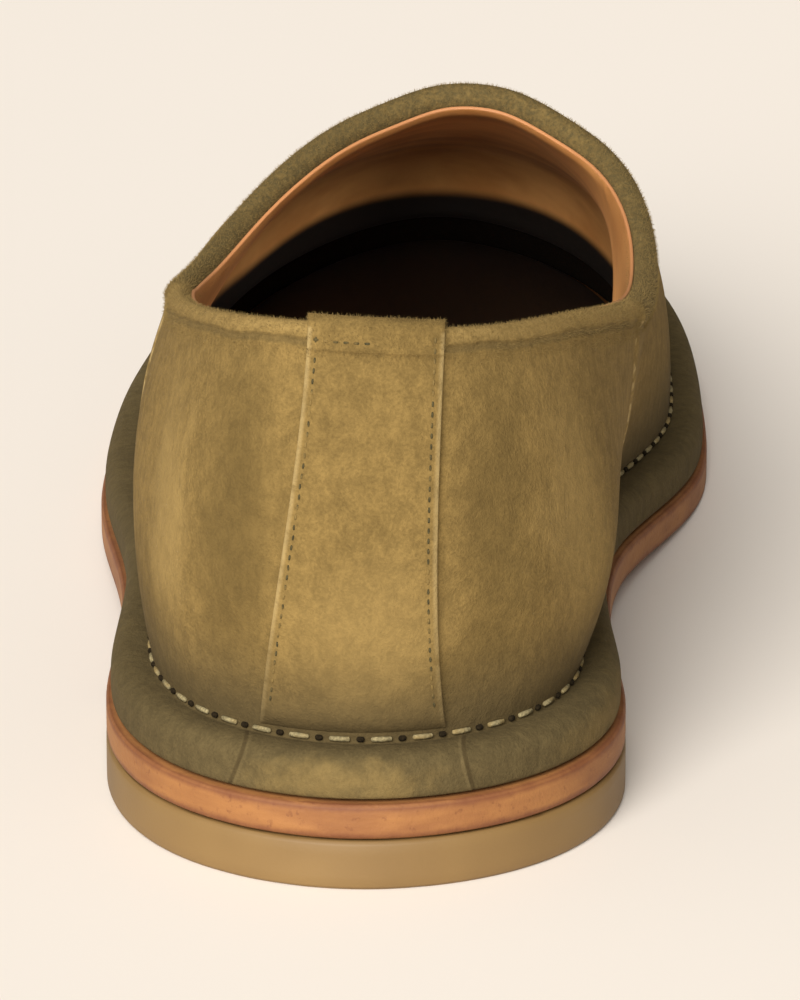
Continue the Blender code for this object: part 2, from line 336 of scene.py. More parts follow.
# Soft dents and swells of the suede: place, reach across, along and up, depth
CREASES = (
    ((-0.034, -0.108, 0.052), (0.007, 0.012, 0.020), -0.0007),
    ((-0.026, -0.128, 0.048), (0.006, 0.010, 0.022), 0.0005),
    ((0.030, -0.120, 0.045), (0.006, 0.010, 0.018), -0.0006),
    ((0.036, -0.104, 0.040), (0.006, 0.012, 0.014), 0.0006),
    ((0.018, -0.137, 0.040), (0.006, 0.008, 0.022), -0.0004),
    ((-0.040, -0.060, 0.036), (0.010, 0.020, 0.010), -0.0007),
    ((0.041, -0.050, 0.034), (0.010, 0.024, 0.010), -0.0008),
    ((-0.030, 0.040, 0.047), (0.016, 0.006, 0.012), -0.0006),
    ((0.034, 0.046, 0.045), (0.016, 0.006, 0.012), -0.0006),
    ((-0.028, 0.052, 0.044), (0.016, 0.005, 0.012), 0.0004),
    ((0.033, 0.058, 0.042), (0.016, 0.005, 0.012), 0.0004),
)


def crease(piece, rows):
    """Pushes the outside of the wall in and out round the places of the creases."""
    points = points_of(piece)
    normals = normals_of(piece)
    below_band = np.clip((rows - COLLAR_BAND_ROW) / 2, 0.0, 1.0)
    outside = below_band * np.clip((GROOVE_ROW - rows) / 2, 0.0, 1.0)
    for place, reach, depth in CREASES:
        off = (points - np.array(place)) / np.array(reach)
        points += normals * (depth * outside * np.exp(-(off**2).sum(axis=1)))[:, None]
    move_points(piece, points)


def row_path(piece, row, name):
    """The line of points of a smoothed wall that lies on one of its rows, as a piece of its own."""
    on_row = np.abs(stored(piece, "row") - row) < ON_ROW
    edit(piece)
    close_edit()
    piece.data.vertices.foreach_set("select", on_row)
    bpy.ops.object.mode_set(mode="EDIT")
    return separate_selected(name)


def make_upper(node):
    """The upper's smoothed copy, the lining split off from it and the path of its groove."""
    piece = copy_of(node, "suede_upper")
    rows = wall_rows(piece)
    seams = np.concatenate([seam_line(piece, rows, side) for side in (-1, 1)])
    store(piece, "row", rows)
    store(piece, "inside", (rows <= LINING_TOP_ROW - 2) | (rows == LAST_ROW))
    lining = split_lining(piece, rows)
    smooth(piece, 2)
    crease(piece, stored(piece, "row"))
    groove = row_path(piece, GROOVE_ROW, "groove_path")
    collar = row_path(piece, 0, "collar_path")
    points = points_of(piece)
    store(piece, "from_groove", distance_to(points, points_of(groove)))
    store(piece, "from_collar", distance_to(points, points_of(collar)))
    store(piece, "from_seam", distance_to(points, seams))
    store(piece, "fuzzy", (stored(piece, "from_collar") < RIM_REACH) & (stored(piece, "inside") < 0.5))
    drop(collar)
    return piece, lining, groove


# Lining

LINING_THICKNESS = 0.0005
LINING_GAP = 0.0001
LINING_STRAIGHT_ROW = -6
LINING_SIDE_FRONT = -0.020
THROAT_TOP_ROW = -3
THROAT_FOOT_ROW = -9
LINING_SMOOTHING = 8


def split_lining(piece, rows):
    """The inner faces below the collar's fold, taken off as the lining."""
    edit(piece, "FACE")
    close_edit()
    for face in piece.data.polygons:
        around = rows[list(face.vertices)]
        face.select = bool(np.all((around <= LINING_TOP_ROW) & (around >= LINING_FOOT_ROW)))
    bpy.ops.object.mode_set(mode="EDIT")
    return separate_selected("lining")


def straighten(piece):
    """Draws the lining straight down from its edge where the wall behind the rim falls back."""
    rows = stored(piece, "row").round().astype(int)
    points = points_of(piece)
    near = neighbours(piece)
    for first in np.flatnonzero(rows == LINING_TOP_ROW):
        column = [first]
        for row in range(LINING_TOP_ROW - 1, LINING_STRAIGHT_ROW - 1, -1):
            column.append(next(other for other in near[column[-1]] if rows[other] == row))
        steps = np.linalg.norm(np.diff(points[column], axis=0), axis=1)
        share = np.concatenate([[0.0], np.cumsum(steps)]) / steps.sum()
        line = points[first] + share[:, None] * (points[column[-1]] - points[first])
        inner = distance_to_spine(line) < distance_to_spine(points[column])
        points[column] = np.where(inner[:, None], line, points[column])
    move_points(piece, points)
    beside = points[:, 1] < LINING_SIDE_FRONT
    at_sides = beside & (rows < LINING_TOP_ROW) & (rows > LINING_STRAIGHT_ROW)
    in_throat = ~beside & (rows < THROAT_TOP_ROW) & (rows > THROAT_FOOT_ROW)
    edit(piece)
    close_edit()
    piece.data.vertices.foreach_set("select", at_sides | in_throat)
    bpy.ops.object.mode_set(mode="EDIT")
    bpy.ops.mesh.vertices_smooth(factor=0.5, repeat=LINING_SMOOTHING)
    close_edit()


def make_lining(piece):
    """Gives the lining its thickness and rounded edges."""
    straighten(piece)
    off_wall = piece.modifiers.new("off_wall", "DISPLACE")
    off_wall.mid_level = 0.0
    off_wall.strength = LINING_GAP
    leather = piece.modifiers.new("leather", "SOLIDIFY")
    leather.thickness = LINING_THICKNESS
    leather.offset = 1.0
    leather.use_even_offset = True
    apply_modifiers(piece)
    edit(piece, "EDGE")
    bpy.ops.mesh.edges_select_sharp(sharpness=LINING_EDGE_ANGLE)
    bpy.ops.transform.edge_crease(value=LINING_EDGE_CREASE)
    close_edit()
    smooth(piece, 2)
    top = stored(piece, "row") > LINING_TOP_ROW - ON_ROW
    points = points_of(piece)
    rim = [edge.vertices[:] for edge in piece.data.edges if all(top[list(edge.vertices)])]
    rim = np.concatenate([dense_line(points[list(ends)]) for ends in rim])
    store(piece, "from_top", distance_to(points, rim))


# Back strip

STRIP_STITCH_INSET = 0.0013
STRIP_STITCH_DROP = 0.0030
STRIP_TUCK_HEIGHT = 0.0045
STRIP_TUCK_IN = 0.0014
STRIP_TUCK_UP = 0.0007
STRIP_UPRIGHT = 0.001
STRIP_BACK_TURN = 0.3
STITCH_ROW_STEPS = 60
STITCH_LEVEL_STEPS = 16
STITCH_ROW_REACH = 0.0012
BEHIND_HEEL = -0.2


def make_strip(node):
    """The strip's copy, with its foot tucked into the groove."""
    piece = copy_of(node, "back_strip_suede")
    low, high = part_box("back_strip")
    edit(piece, "EDGE")
    bpy.ops.mesh.edges_select_sharp(sharpness=STRIP_EDGE_ANGLE)
    bpy.ops.transform.edge_crease(value=STRIP_EDGE_CREASE)
    close_edit()
    creased = piece.data.attributes["crease_edge"].data
    edges = [edge.vertices[:] for edge in piece.data.edges if creased[edge.index].value > 0]
    points = points_of(piece)
    edges = [ends for ends in edges if abs(points[ends[0], 2] - points[ends[1], 2]) > STRIP_UPRIGHT]
    lines = np.concatenate([dense_line(points[list(ends)]) for ends in edges])
    smooth(piece, 2)
    points = points_of(piece)
    store(piece, "from_edge", distance_to(points, lines))
    tuck = np.clip((low.z + STRIP_TUCK_HEIGHT - points[:, 2]) / STRIP_TUCK_HEIGHT, 0.0, 1.0) ** 2
    facing_back = normals_of(piece)[:, 1] < STRIP_BACK_TURN
    store(piece, "fuzzy", facing_back & (points[:, 2] > high.z - RIM_REACH))
    points[:, 1] += STRIP_TUCK_IN * tuck
    points[:, 2] += STRIP_TUCK_UP * tuck
    move_points(piece, points)
    return piece


def path_through(points, name):
    """An open curve through points, for a row of stitches."""
    curve = bpy.data.curves.new(name, "CURVE")
    curve.dimensions = "3D"
    spline = curve.splines.new("POLY")
    spline.points.add(len(points) - 1)
    for point, place in zip(spline.points, points):
        point.co = (*place, 1.0)
    path = bpy.data.objects.new(name, curve)
    bpy.context.collection.objects.link(path)
    return path


def strip_paths(piece):
    """Paths of the stitches on the strip: one inside each side edge and one across its top."""
    points = points_of(piece)
    top = points[:, 2].max() - STRIP_STITCH_DROP
    foot = points[:, 2].min() + STRIP_TUCK_HEIGHT
    heights = np.linspace(top, foot, STITCH_ROW_STEPS)
    sides = []
    for height in heights:
        across = points[np.abs(points[:, 2] - height) < STITCH_ROW_REACH, 0]
        sides.append((across.min() + STRIP_STITCH_INSET, across.max() - STRIP_STITCH_INSET))
    sides = np.array(sides)
    upright = [[(x, height) for x, height in zip(sides[:, side], heights)] for side in (0, 1)]
    level = [(x, top) for x in np.linspace(sides[0, 0], sides[0].mean(), STITCH_LEVEL_STEPS)]
    paths = []
    for line in upright + [level]:
        on_face = [piece.ray_cast((x, BEHIND_HEEL, height), (0, 1, 0))[1] for x, height in line]
        paths.append(path_through(on_face, "strip_stitch_path"))
    return paths


# Soles

def make_sole(node, name, levels):
    """A welded copy of a sole's layer with its edges kept crisp."""
    piece = copy_of(node, name)
    edit(piece, "EDGE")
    bpy.ops.mesh.edges_select_sharp(sharpness=SOLE_EDGE_ANGLE)
    bpy.ops.transform.edge_crease(value=SOLE_EDGE_CREASE)
    close_edit()
    smooth(piece, levels)
    edit(piece, "EDGE")
    bpy.ops.mesh.edges_select_sharp(sharpness=SOLE_EDGE_ANGLE)
    close_edit()
    points = points_of(piece)
    rims = [dense_line(points[list(edge.vertices)], 4) for edge in piece.data.edges if edge.select]
    store(piece, "from_edge", distance_to(points, np.concatenate(rims)))
    pick(piece)
    bpy.ops.object.shade_smooth_by_angle(angle=SOLE_SMOOTH_ANGLE)
    return piece


# Stitches

def make_stitch(name, length, radius, offset=0.0):
    """One stitch along X: a ball drawn out to a rounded bar."""
    bpy.ops.object.select_all(action="DESELECT")
    bpy.ops.mesh.primitive_uv_sphere_add(segments=8, ring_count=6, radius=radius)
    piece = bpy.context.object
    piece.name = name
    piece.data.name = name
    points = points_of(piece)
    points[:, 0] += np.sign(np.round(points[:, 0], 6)) * (length / 2 - radius) + offset
    move_points(piece, points)
    pick(piece)
    bpy.ops.object.shade_smooth()
    return piece


def run_along(piece, path, pitch):
    """Repeats a stitch along a path and bends the row to it."""
    row = piece.modifiers.new("row", "ARRAY")
    row.fit_type = "FIT_CURVE"
    row.curve = path
    row.use_relative_offset = False
    row.use_constant_offset = True
    row.constant_offset_displace = (pitch, 0.0, 0.0)
    follow = piece.modifiers.new("follow", "CURVE")
    follow.object = path
    follow.deform_axis = "POS_X"
    apply_modifiers(piece)


def drop(piece):
    bpy.data.objects.remove(piece, do_unlink=True)


def join(pieces):
    """Joins pieces into the first of them."""
    pick(pieces[0])
    for piece in pieces[1:]:
        piece.select_set(True)
    bpy.ops.object.join()
    return pieces[0]


# Fuzz of the collar

FIBRE_RADIUS = 0.00004
FIBRE_LENGTH = 0.0006
FIBRE_LEAN = 0.65
FIBRE_SMALLEST = 0.35
FIBRE_DENSITY = 8.0e6


def make_fibre():
    """One fibre: a thin three-sided spike that stands on the origin."""
    bpy.ops.object.select_all(action="DESELECT")
    bpy.ops.mesh.primitive_cone_add(
        vertices=3, radius1=FIBRE_RADIUS, radius2=0.0, depth=FIBRE_LENGTH, end_fill_type="NGON",
    )
    piece = bpy.context.object
    points = points_of(piece)
    points[:, 2] += FIBRE_LENGTH / 2
    move_points(piece, points)
    return piece


def grow_fuzz(source, fibre, name, density):
    """Fibres scattered over the fuzzy part of a piece, each turned and sized by chance."""
    pick(source)
    bpy.ops.object.duplicate()
    piece = bpy.context.object
    piece.name = name
    piece.data.name = name
    tree = bpy.data.node_groups.new(name, "GeometryNodeTree")
    tree.interface.new_socket("Geometry", in_out="INPUT", socket_type="NodeSocketGeometry")
    tree.interface.new_socket("Geometry", in_out="OUTPUT", socket_type="NodeSocketGeometry")
    inside = tree.nodes.new("NodeGroupInput")
    out = tree.nodes.new("NodeGroupOutput")
    fuzzy = add_node(tree, "GeometryNodeInputNamedAttribute", {"Name": "fuzzy"}, data_type="FLOAT")
    density = calc(tree, "MULTIPLY", fuzzy.outputs["Attribute"], density)
    scatter = add_node(
        tree, "GeometryNodeDistributePointsOnFaces",
        links={"Mesh": inside.outputs["Geometry"], "Density": density},
    )
    lean = tree.nodes.new("FunctionNodeRandomValue")
    lean.data_type = "FLOAT_VECTOR"
    lean.inputs[0].default_value = (-FIBRE_LEAN, -FIBRE_LEAN, 0.0)
    lean.inputs[1].default_value = (FIBRE_LEAN, FIBRE_LEAN, math.tau)
    lean = add_node(tree, "FunctionNodeEulerToRotation", links={"Euler": lean.outputs[0]})
    turned = add_node(
        tree, "FunctionNodeRotateRotation",
        links={"Rotation": scatter.outputs["Rotation"], "Rotate By": lean.outputs["Rotation"]},
        rotation_space="LOCAL",
    )
    size = tree.nodes.new("FunctionNodeRandomValue")
    size.inputs[2].default_value = FIBRE_SMALLEST
    size.inputs[3].default_value = 1.0
    spike = add_node(tree, "GeometryNodeObjectInfo", {"Object": fibre})
    stand = add_node(
        tree, "GeometryNodeInstanceOnPoints",
        links={
            "Points": scatter.outputs["Points"], "Instance": spike.outputs["Geometry"],
            "Rotation": turned.outputs["Rotation"], "Scale": size.outputs[1],
        },
    ).outputs["Instances"]
    real = add_node(tree, "GeometryNodeRealizeInstances", links={"Geometry": stand}).outputs["Geometry"]
    tree.links.new(real, out.inputs["Geometry"])
    piece.modifiers.new("fuzz", "NODES").node_group = tree
    apply_modifiers(piece)
    bpy.data.node_groups.remove(tree)
    return piece


# Materials

def add_node(tree, kind, values=None, links=None, **settings):
    """A node with its settings, the values of its sockets and its links."""
    made = tree.nodes.new(kind)
    for key, value in settings.items():
        setattr(made, key, value)
    for key, value in (values or {}).items():
        made.inputs[key].default_value = value
    for key, source in (links or {}).items():
        tree.links.new(source, made.inputs[key])
    return made


def feed(tree, socket, value):
    """Links a socket to another one, or sets its value."""
    if isinstance(value, bpy.types.NodeSocket):
        tree.links.new(value, socket)
    else:
        socket.default_value = value


def mix(tree, factor, first, second, mode="MIX"):
    made = tree.nodes.new("ShaderNodeMix")
    made.data_type = "RGBA"
    made.blend_type = mode
    feed(tree, made.inputs[0], factor)
    feed(tree, made.inputs[6], first)
    feed(tree, made.inputs[7], second)
    return made.outputs[2]


def calc(tree, operation, first, second=0.0, third=0.0):
    made = tree.nodes.new("ShaderNodeMath")
    made.operation = operation
    for socket, value in zip(made.inputs, (first, second, third)):
        feed(tree, socket, value)
    return made.outputs[0]


def between(tree, value, low, high, from_value=0.0, to_value=1.0):
    """A soft step from one value to another between two limits."""
    made = tree.nodes.new("ShaderNodeMapRange")
    made.interpolation_type = "SMOOTHSTEP"
    names = ("Value", "From Min", "From Max", "To Min", "To Max")
    for key, item in zip(names, (value, low, high, from_value, to_value)):
        feed(tree, made.inputs[key], item)
    return made.outputs["Result"]


def noise(tree, vector, scale, detail=4.0, roughness=0.55):
    made = add_node(
        tree, "ShaderNodeTexNoise",
        {"Scale": scale, "Detail": detail, "Roughness": roughness}, {"Vector": vector},
    )
    return made.outputs["Fac"]


def stretched(tree, vector, scale):
    return add_node(tree, "ShaderNodeMapping", {"Scale": scale}, {"Vector": vector}).outputs["Vector"]


def number(tree, name):
    return add_node(tree, "ShaderNodeAttribute", attribute_name=name).outputs["Fac"]


def new_material(name, roughness):
    """A material with its Principled shader, and the object coordinates."""
    material = bpy.data.materials.new(name)
    material.use_nodes = True
    tree = material.node_tree
    shader = tree.nodes["Principled BSDF"]
    shader.inputs["Roughness"].default_value = roughness
    place = tree.nodes.new("ShaderNodeTexCoord").outputs["Object"]
    return material, tree, shader, place


def bump(tree, shader, height, distance, strength):
    made = add_node(
        tree, "ShaderNodeBump", {"Distance": distance, "Strength": strength}, {"Height": height},
    )
    tree.links.new(made.outputs["Normal"], shader.inputs["Normal"])


def pushed_about(tree, vector, scale, detail, reach):
    """A vector that noise moves by up to a reach along each axis."""
    push = add_node(tree, "ShaderNodeTexNoise", {"Scale": scale, "Detail": detail}, {"Vector": vector})
    return add_node(
        tree, "ShaderNodeVectorMath", {1: (reach, reach, reach)}, {0: push.outputs["Color"], 2: vector},
        operation="MULTIPLY_ADD",
    ).outputs["Vector"]


def new_group(name, inputs, outputs):
    """A shader node group with named sockets, and its two end nodes."""
    tree = bpy.data.node_groups.new(name, "ShaderNodeTree")
    for label, kind, value in inputs:
        socket = tree.interface.new_socket(label, in_out="INPUT", socket_type=kind)
        if value is not None:
            socket.default_value = value
    for label, kind in outputs:
        tree.interface.new_socket(label, in_out="OUTPUT", socket_type=kind)
    return tree, tree.nodes.new("NodeGroupInput"), tree.nodes.new("NodeGroupOutput")


def suede_group():
    """Brushed clouds, mottling and short fibres of suede."""
    tree, inside, out = new_group(
        "suede_nap",
        (("Vector", "NodeSocketVector", None), ("Dark", "NodeSocketColor", SUEDE_DARK),
         ("Light", "NodeSocketColor", SUEDE_LIGHT)),
        (("Color", "NodeSocketColor"), ("Height", "NodeSocketFloat")),
    )
    place = inside.outputs["Vector"]
    brushed = pushed_about(tree, place, 140.0, 2.0, 0.0022)
    clouds = noise(tree, stretched(tree, place, (1.0, 1.0, 0.55)), 62.0, 3.0)
    mottle = noise(tree, stretched(tree, brushed, (1.0, 1.0, 0.75)), 480.0, 4.0, 0.66)
    fibre = noise(tree, brushed, 2100.0, 3.0, 0.75)
    share = calc(tree, "MULTIPLY_ADD", clouds, 0.8, calc(tree, "MULTIPLY", mottle, 0.8))
    share = between(tree, calc(tree, "ADD", share, fibre), 0.70, 1.90)
    colour = mix(tree, share, inside.outputs["Dark"], inside.outputs["Light"])
    tree.links.new(colour, out.inputs["Color"])
    height = calc(tree, "MULTIPLY_ADD", mottle, 1.1, calc(tree, "MULTIPLY", fibre, 0.7))
    tree.links.new(height, out.inputs["Height"])
    return tree


SUEDE_NAP = suede_group()


def suede_base(tree, place, dark, light):
    """The suede's colour between two tones, and its height."""
    group = tree.nodes.new("ShaderNodeGroup")
    group.node_tree = SUEDE_NAP
    tree.links.new(place, group.inputs["Vector"])
    group.inputs["Dark"].default_value = dark
    group.inputs["Light"].default_value = light
    return group.outputs["Color"], group.outputs["Height"]


def tuft_light_and_shade(tree, colour, height):
    """Painted shade in the gaps between the tufts of the nap and painted highlight on their tips."""
    tuft_shading = between(tree, height, 0.65, 1.15, 0.93, 1.07)
    return mix(tree, 1.0, colour, tuft_shading, "MULTIPLY")


def new_suede(name):
    """A dull material with a faint sheen."""
    material, tree, shader, place = new_material(name, 0.95)
    shader.inputs["Specular IOR Level"].default_value = 0.15
    shader.inputs["Sheen Weight"].default_value = 0.04
    shader.inputs["Sheen Roughness"].default_value = 0.5
    shader.inputs["Sheen Tint"].default_value = SUEDE_LIGHT
    return material, tree, shader, place


def line_mark(tree, value, middle, half, soft):
    """One along a line of some width where a value is near its middle, and zero off it."""
    off = calc(tree, "ABSOLUTE", calc(tree, "SUBTRACT", value, middle))
    return between(tree, off, half, half + soft, 1.0, 0.0)


def times(tree, *factors):
    product = factors[0]
    for factor in factors[1:]:
        product = calc(tree, "MULTIPLY", product, factor)
    return product


def margin_colour(tree, place, axis, at_heel):
    """The margin's grey suede with a worn place at the heel and the two seams beside it."""
    dark = tuple(0.62 * c for c in MARGIN_GREY[:3]) + (1.0,)
    margin, _ = suede_base(tree, place, dark, MARGIN_GREY)
    up = calc(tree, "POWER", calc(tree, "MULTIPLY_ADD", axis["Z"], 300.0, -4.65), 2.0)
    ragged = calc(tree, "MULTIPLY_ADD", noise(tree, place, 260.0, 5.0, 0.65), 3.4, -1.7)
    behind_arch = between(tree, axis["Y"], -0.105, -0.095, 1.0, 0.0)
    for per_metre, shift, strength, zone in ((78.0, 0.20, 0.7, at_heel), (130.0, -4.75, 0.5, behind_arch)):
        across = calc(tree, "POWER", calc(tree, "MULTIPLY_ADD", axis["X"], per_metre, shift), 2.0)
        off = calc(tree, "ADD", calc(tree, "ADD", across, up), ragged)
        worn = times(tree, between(tree, off, -0.4, 1.7, strength, 0.0), zone)
        margin = mix(tree, worn, margin, MARGIN_WORN)
    for start, slope, pale_side, pale in ((-0.0160, 0.357, 0.0005, 0.04), (0.0150, -0.243, -0.0005, 0.08)):
        line = calc(tree, "MULTIPLY_ADD", calc(tree, "SUBTRACT", axis["Z"], 0.020), slope, start)
        off = calc(tree, "SUBTRACT", axis["X"], line)
        thread_mark = times(tree, line_mark(tree, off, pale_side, 0.0001, 0.0003), at_heel, pale)
        margin = mix(tree, thread_mark, margin, RAW_EDGE)
        seam_mark = times(tree, line_mark(tree, off, 0.0, 0.00015, 0.0003), at_heel, 0.65)
        margin = mix(tree, seam_mark, margin, SEAM_DARK)
    return margin


# Places of painted highlight and shade on the suede round the heel: place, reach, strength and colour
LIT_AND_SHADED_PLACES = (
    ((-0.029, -0.121, 0.052), (0.0042, 0.012, 0.021), 0.80, SUEDE_PALE),
    ((-0.0175, -0.133, 0.050), (0.0072, 0.012, 0.028), 0.75, SUEDE_DEEP),
    ((-0.036, -0.110, 0.030), (0.010, 0.020, 0.010), 0.50, SUEDE_DEEP),
    ((0.002, -0.141, 0.036), (0.012, 0.010, 0.013), 0.45, SUEDE_PALE),
    ((0.030, -0.122, 0.052), (0.0042, 0.012, 0.018), 0.50, SUEDE_PALE),
    ((0.0205, -0.133, 0.052), (0.0060, 0.012, 0.024), 0.60, SUEDE_DEEP),
    ((0.035, -0.116, 0.040), (0.005, 0.012, 0.016), 0.35, SUEDE_PALE),
    ((0.020, -0.136, 0.031), (0.010, 0.012, 0.008), 0.45, SUEDE_DEEP),
)
LIT_AND_SHADED_REACH = 0.010


def lit_and_shaded_group():
    """Painted highlight and shade laid over a colour at the listed places, each with a ragged edge at its
    reach.
    """
    tree, inside, out = new_group(
        "painted_light_and_shade",
        (("Vector", "NodeSocketVector", None), ("Color", "NodeSocketColor", SUEDE_DARK)),
        (("Color", "NodeSocketColor"),),
    )
    moved = pushed_about(tree, inside.outputs["Vector"], 110.0, 3.0, LIT_AND_SHADED_REACH)
    colour = inside.outputs["Color"]
    for middle, reach, strength, tone in LIT_AND_SHADED_PLACES:
        middle = tuple(place + LIT_AND_SHADED_REACH / 2 for place in middle)
        off = add_node(tree, "ShaderNodeVectorMath", {1: middle}, {0: moved}, operation="SUBTRACT")
        off = add_node(
            tree, "ShaderNodeVectorMath", {1: reach}, {0: off.outputs["Vector"]}, operation="DIVIDE",
        )
        far = add_node(tree, "ShaderNodeVectorMath", links={0: off.outputs["Vector"]}, operation="LENGTH")
        colour = mix(tree, between(tree, far.outputs["Value"], 0.3, 1.4, strength, 0.0), colour, tone)
    tree.links.new(colour, out.inputs["Color"])
    return tree


LIT_AND_SHADED_GROUP = lit_and_shaded_group()


def paint_light_and_shade(tree, place, colour):
    """Lays the painted highlight and shade of the listed places over a colour."""
    group = tree.nodes.new("ShaderNodeGroup")
    group.node_tree = LIT_AND_SHADED_GROUP
    tree.links.new(place, group.inputs["Vector"])
    tree.links.new(colour, group.inputs["Color"])
    return group.outputs["Color"]


def upper_suede():
    """Olive suede of the upper, with its collar, throat, margin and seams."""
    material, tree, shader, place = new_suede("olive_suede")
    colour, nap = suede_base(tree, place, SUEDE_DARK, SUEDE_LIGHT)
    # Painted highlight and shade at the listed places round the heel
    colour = paint_light_and_shade(tree, place, colour)
    axis = add_node(tree, "ShaderNodeSeparateXYZ", links={"Vector": place}).outputs
    row = number(tree, "row")
    waver = calc(tree, "MULTIPLY_ADD", noise(tree, place, 90.0, 2.0), 0.0016, -0.0008)
    from_collar = calc(tree, "ADD", number(tree, "from_collar"), waver)
    near_groove = between(tree, number(tree, "from_groove"), 0.0005, 0.0175, 0.85, 0.0)
    colour = mix(tree, near_groove, colour, SUEDE_SHADED)

    outside = between(tree, row, 0.2, 0.8)
    behind_seam = between(tree, axis["Y"], QUARTER_FRONT - 0.002, QUARTER_FRONT, 1.0, 0.0)
    on_quarter = times(tree, behind_seam, outside)
    granular = between(tree, noise(tree, place, 1100.0, 3.0, 0.7), 0.35, 0.65, 0.25, 0.85)
    band = times(tree, between(tree, from_collar, 0.0022, 0.0034, 1.0, 0.0), on_quarter, granular)
    colour = mix(tree, band, colour, SUEDE_PALE)
    trough = times(tree, line_mark(tree, from_collar, 0.0035, 0.0001, 0.0006), on_quarter)
    colour = mix(tree, times(tree, trough, 0.4), colour, SUEDE_SHADED)
    height = calc(tree, "MULTIPLY_ADD", trough, -1.6, nap)

    on_rim = between(tree, from_collar, 0.0040, 0.0065, 1.0, 0.0)
    at_throat = times(tree, between(tree, axis["Y"], -0.080, -0.070), on_rim)
    blotch = between(tree, noise(tree, place, 1300.0, 3.0, 0.7), 0.30, 0.70, 0.90, 0.40)
    colour = mix(tree, times(tree, at_throat, blotch), colour, THROAT_DARK)

    on_margin = between(tree, row, GROOVE_ROW + 0.2, GROOVE_ROW + 0.9)
    at_heel = between(tree, axis["Y"], -0.134, -0.124, 1.0, 0.0)
    colour = mix(tree, on_margin, colour, margin_colour(tree, place, axis, at_heel))
    broken = between(tree, noise(tree, place, 420.0), 0.40, 0.60)
    raw = times(tree, between(tree, number(tree, "from_seam"), 0.0002, 0.0007, 0.7, 0.0), broken)
    colour = mix(tree, raw, colour, RAW_EDGE)
    # Painted shade in the gaps of the nap and painted highlight on its tufts
    colour = tuft_light_and_shade(tree, colour, nap)
    colour = mix(tree, between(tree, number(tree, "inside"), 0.3, 0.7), colour, LINING_SHADE)
    tree.links.new(colour, shader.inputs["Base Color"])
    bump(tree, shader, height, 0.0004, 0.7)
    return material


def strip_suede():
    """Olive suede of the back strip, with its raw edges."""
    material, tree, shader, place = new_suede("olive_suede_strip")
    colour, nap = suede_base(tree, place, SUEDE_DARK, SUEDE_LIGHT)
    # Painted highlight and shade at the listed places round the heel
    colour = paint_light_and_shade(tree, place, colour)
    axis = add_node(tree, "ShaderNodeSeparateXYZ", links={"Vector": place}).outputs
    # Painted shade towards the strip's foot: darker suede, and raw edges that dim as they run down into it
    low = between(tree, axis["Z"], 0.0205, 0.0375, 0.85, 0.0)
    colour = mix(tree, low, colour, SUEDE_SHADED)
    broken = between(tree, noise(tree, place, 420.0), 0.20, 0.50)
    raw_edges_in_shade = between(tree, axis["Z"], 0.022, 0.048, 0.30, 1.0)
    raw = times(tree, between(tree, number(tree, "from_edge"), 0.0002, 0.0009, 0.45, 0.0), broken, raw_edges_in_shade)
    # Painted shade in the gaps of the nap and painted highlight on its tufts
    colour = tuft_light_and_shade(tree, mix(tree, raw, colour, RAW_EDGE), nap)
    tree.links.new(colour, shader.inputs["Base Color"])
    bump(tree, shader, nap, 0.0004, 0.6)
    return material


def suede_fuzz():
    """The loose fibres of the collar, all of one colour."""
    material, _, shader, _ = new_suede("suede_fuzz")
    shader.inputs["Base Color"].default_value = FUZZ_OLIVE
    return material


def thread(name, colour, roughness=0.8, fuzzed=0.0):
    """Twisted thread, with fuzz of the suede over some of its stitches."""
    material, tree, shader, place = new_material(name, roughness)
    shader.inputs["Specular IOR Level"].default_value = 0.1
    twist = noise(tree, place, 2600.0, 2.0)
    darker = tuple(0.55 * c for c in colour[:3]) + (1.0,)
    twisted = mix(tree, between(tree, twist, 0.35, 0.7), darker, colour)
    fuzz = between(tree, noise(tree, place, 330.0, 2.0), 0.45, 0.65, 0.0, fuzzed)
    tree.links.new(mix(tree, fuzz, twisted, SUEDE_LIGHT), shader.inputs["Base Color"])
    bump(tree, shader, twist, 0.0002, 0.6)
    return material


def lining_leather():
    """Tan lining with a pale cut edge and painted shade on its curl under the rim, dark towards the insole.
    """
    material, tree, shader, place = new_material("lining_leather", 0.6)
    grain = noise(tree, place, 900.0, 4.0)
    tone = noise(tree, place, 60.0, 3.0)
    colour = mix(tree, between(tree, tone, 0.3, 0.7), LINING_DARK, LINING_TAN)
    axis = add_node(tree, "ShaderNodeSeparateXYZ", links={"Vector": place}).outputs
    rise = calc(tree, "SUBTRACT", axis["Z"], between(tree, axis["Y"], 0.100, 0.134, 0.0, 0.007))
    shaded = between(tree, rise, 0.0178, 0.0208, 1.0, 0.0)
    colour = mix(tree, shaded, colour, LINING_SHADE)
    from_top = number(tree, "from_top")
    # Painted shade on the lining's curl under the rim, which catches more light than the lining below it
    colour = mix(tree, between(tree, from_top, 0.0020, 0.0140, 0.6, 0.0), colour, LINING_CURL_SHADE)
    ragged = calc(tree, "MULTIPLY_ADD", noise(tree, place, 300.0, 3.0), 0.0008, from_top)
    cut = between(tree, ragged, 0.0005, 0.0008, 1.0, 0.0)
    colour = mix(tree, cut, colour, LINING_CUT)
    tree.links.new(colour, shader.inputs["Base Color"])
    bump(tree, shader, grain, 0.0002, 0.25)
    return material


def sock_leather():
    """Dark leather of the insole."""
    material, tree, shader, place = new_material("insole_leather", 0.6)
    tone = noise(tree, place, 80.0, 4.0)
    darker = tuple(0.6 * c for c in SOCK_BROWN[:3]) + (1.0,)
    tree.links.new(mix(tree, tone, darker, SOCK_BROWN), shader.inputs["Base Color"])
    bump(tree, shader, noise(tree, place, 1200.0), 0.0002, 0.3)
    return material


